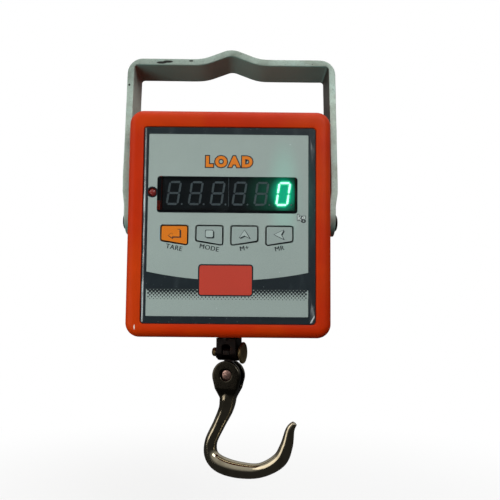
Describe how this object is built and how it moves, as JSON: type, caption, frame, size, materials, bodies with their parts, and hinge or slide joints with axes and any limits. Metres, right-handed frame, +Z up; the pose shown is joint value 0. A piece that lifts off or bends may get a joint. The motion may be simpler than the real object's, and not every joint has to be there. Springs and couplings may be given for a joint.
{
  "type": "electronic crane scale",
  "caption": "Hanging scale: stirrup handle, boxed case with digit display and keys, load cell inside, and a swivelling forged hook below.",
  "frame": {"origin": "the hang point, the flat under the peak of the handle, in the middle of the strap", "axes": "+Z up along the load line, the display faces -Y, +X to the reader's right"},
  "size_m": [0.13, 0.058, 0.2538],
  "materials": {
    "case_red": "orange-red moulded ABS, fine grain",
    "gasket": "matte",
    "overlay_print": "silver print with a dark border on polycarbonate",
    "window": "clear tinted pane",
    "led_case": "dark grey module face",
    "lamp": "red diffused dome",
    "key_orange": "orange printed keycap",
    "key_grey": "silver printed keycap",
    "board": "green solder mask",
    "chip": "black moulding",
    "connector": "cream nylon",
    "can": "sleeved can",
    "battery": "shrink sleeve",
    "black_plastic": "matte",
    "rocker_red": "gloss",
    "nylon": "natural nylon",
    "cast_aluminium": "raw, pitted and scratched",
    "aluminium": "machined",
    "zinc": "bright zinc plated",
    "yellow_zinc": "yellow zinc plated",
    "plain_steel": "plain",
    "black_steel": "blackened, oiled",
    "hook_steel": "polished forging",
    "bronze": "plain",
    "copper": "coppery rivet end"
  },
  "bodies": {
    "handle": {"handle": "cast_aluminium"},
    "case": {"battery_cell_left": "battery", "battery_cell_right": "battery", "battery_connector": "connector", "battery_holder_left": "black_plastic", "battery_holder_right": "black_plastic", "bottom_bush": "black_plastic", "buzzer": "chip", "capacitor": "can", "case_gasket": "gasket", "charge_lamp": "lamp", "charging_jack": "black_plastic", "charging_jack_nut": "zinc", "controller_chip": "chip", "converter_chip": "chip", "display_window": "window", "front_case": "case_red", "graphic_overlay": "overlay_print", "key_switch_m_plus": "plain_steel", "key_switch_mode": "plain_steel", "key_switch_mr": "plain_steel", "key_switch_tare": "plain_steel", "led_module_left": "led_case", "led_module_right": "led_case", "load_cell": "aluminium", "load_cell_bolt": "zinc", "load_cell_connector": "connector", "load_cell_washer": "zinc", "load_frame": "zinc", "main_board": "board", "pivot_bolt_left": "black_steel", "pivot_bolt_right": "black_steel", "pivot_nut_left": "zinc", "pivot_nut_right": "zinc", "pivot_washer_left": "nylon", "pivot_washer_right": "nylon", "rear_case": "case_red", "rear_screw_1": "zinc", "rear_screw_2": "zinc", "rear_screw_3": "zinc", "rear_screw_4": "zinc", "switch_housing": "black_plastic", "swivel_yoke": "plain_steel", "thrust_washer": "bronze"},
    "swivel": {"swivel_fork": "black_steel", "swivel_nut": "zinc", "cross_pin": "yellow_zinc", "cross_pin_clip": "black_steel"},
    "link": {"link_block": "black_steel"},
    "hook": {"hook": "hook_steel", "hook_pin": "copper"},
    "power_rocker": {"power_rocker": "rocker_red"},
    "key_tare": {"key_tare": "key_orange", "switch_button_tare": "chip"},
    "key_mode": {"key_mode": "key_grey", "switch_button_mode": "chip"},
    "key_m_plus": {"key_m_plus": "key_grey", "switch_button_m_plus": "chip"},
    "key_mr": {"key_mr": "key_grey", "switch_button_mr": "chip"}
  },
  "joints": [
    {"name": "handle_swing", "type": "hinge", "parent": "handle", "child": "case", "pos_m": [0, 0, -0.0983], "axis": [1, 0, 0], "range_deg": [-120, 120]},
    {"name": "hook_swivel", "type": "hinge", "parent": "case", "child": "swivel", "pos_m": [0, 0, -0.168], "axis": [0, 0, 1], "continuous": true},
    {"name": "link_swing", "type": "hinge", "parent": "swivel", "child": "link", "pos_m": [0, 0, -0.1769], "axis": [0.9397, -0.342, 0], "range_deg": [-50, 50]},
    {"name": "hook_swing", "type": "hinge", "parent": "link", "child": "hook", "pos_m": [0, 0, -0.1899], "axis": [0.342, 0.9397, 0], "range_deg": [-40, 40]},
    {"name": "press_tare", "type": "slide", "parent": "case", "child": "key_tare", "axis": [0, 1, 0], "range_m": [0, 0.0005], "stiffness_N_per_m": 200},
    {"name": "press_mode", "type": "slide", "parent": "case", "child": "key_mode", "axis": [0, 1, 0], "range_m": [0, 0.0005], "stiffness_N_per_m": 200},
    {"name": "press_m_plus", "type": "slide", "parent": "case", "child": "key_m_plus", "axis": [0, 1, 0], "range_m": [0, 0.0005], "stiffness_N_per_m": 200},
    {"name": "press_mr", "type": "slide", "parent": "case", "child": "key_mr", "axis": [0, 1, 0], "range_m": [0, 0.0005], "stiffness_N_per_m": 200},
    {"name": "power_toggle", "type": "hinge", "parent": "case", "child": "power_rocker", "pos_m": [-0.032, 0, -0.1626], "axis": [0, 1, 0], "range_deg": [-20, 0]}
  ]
}
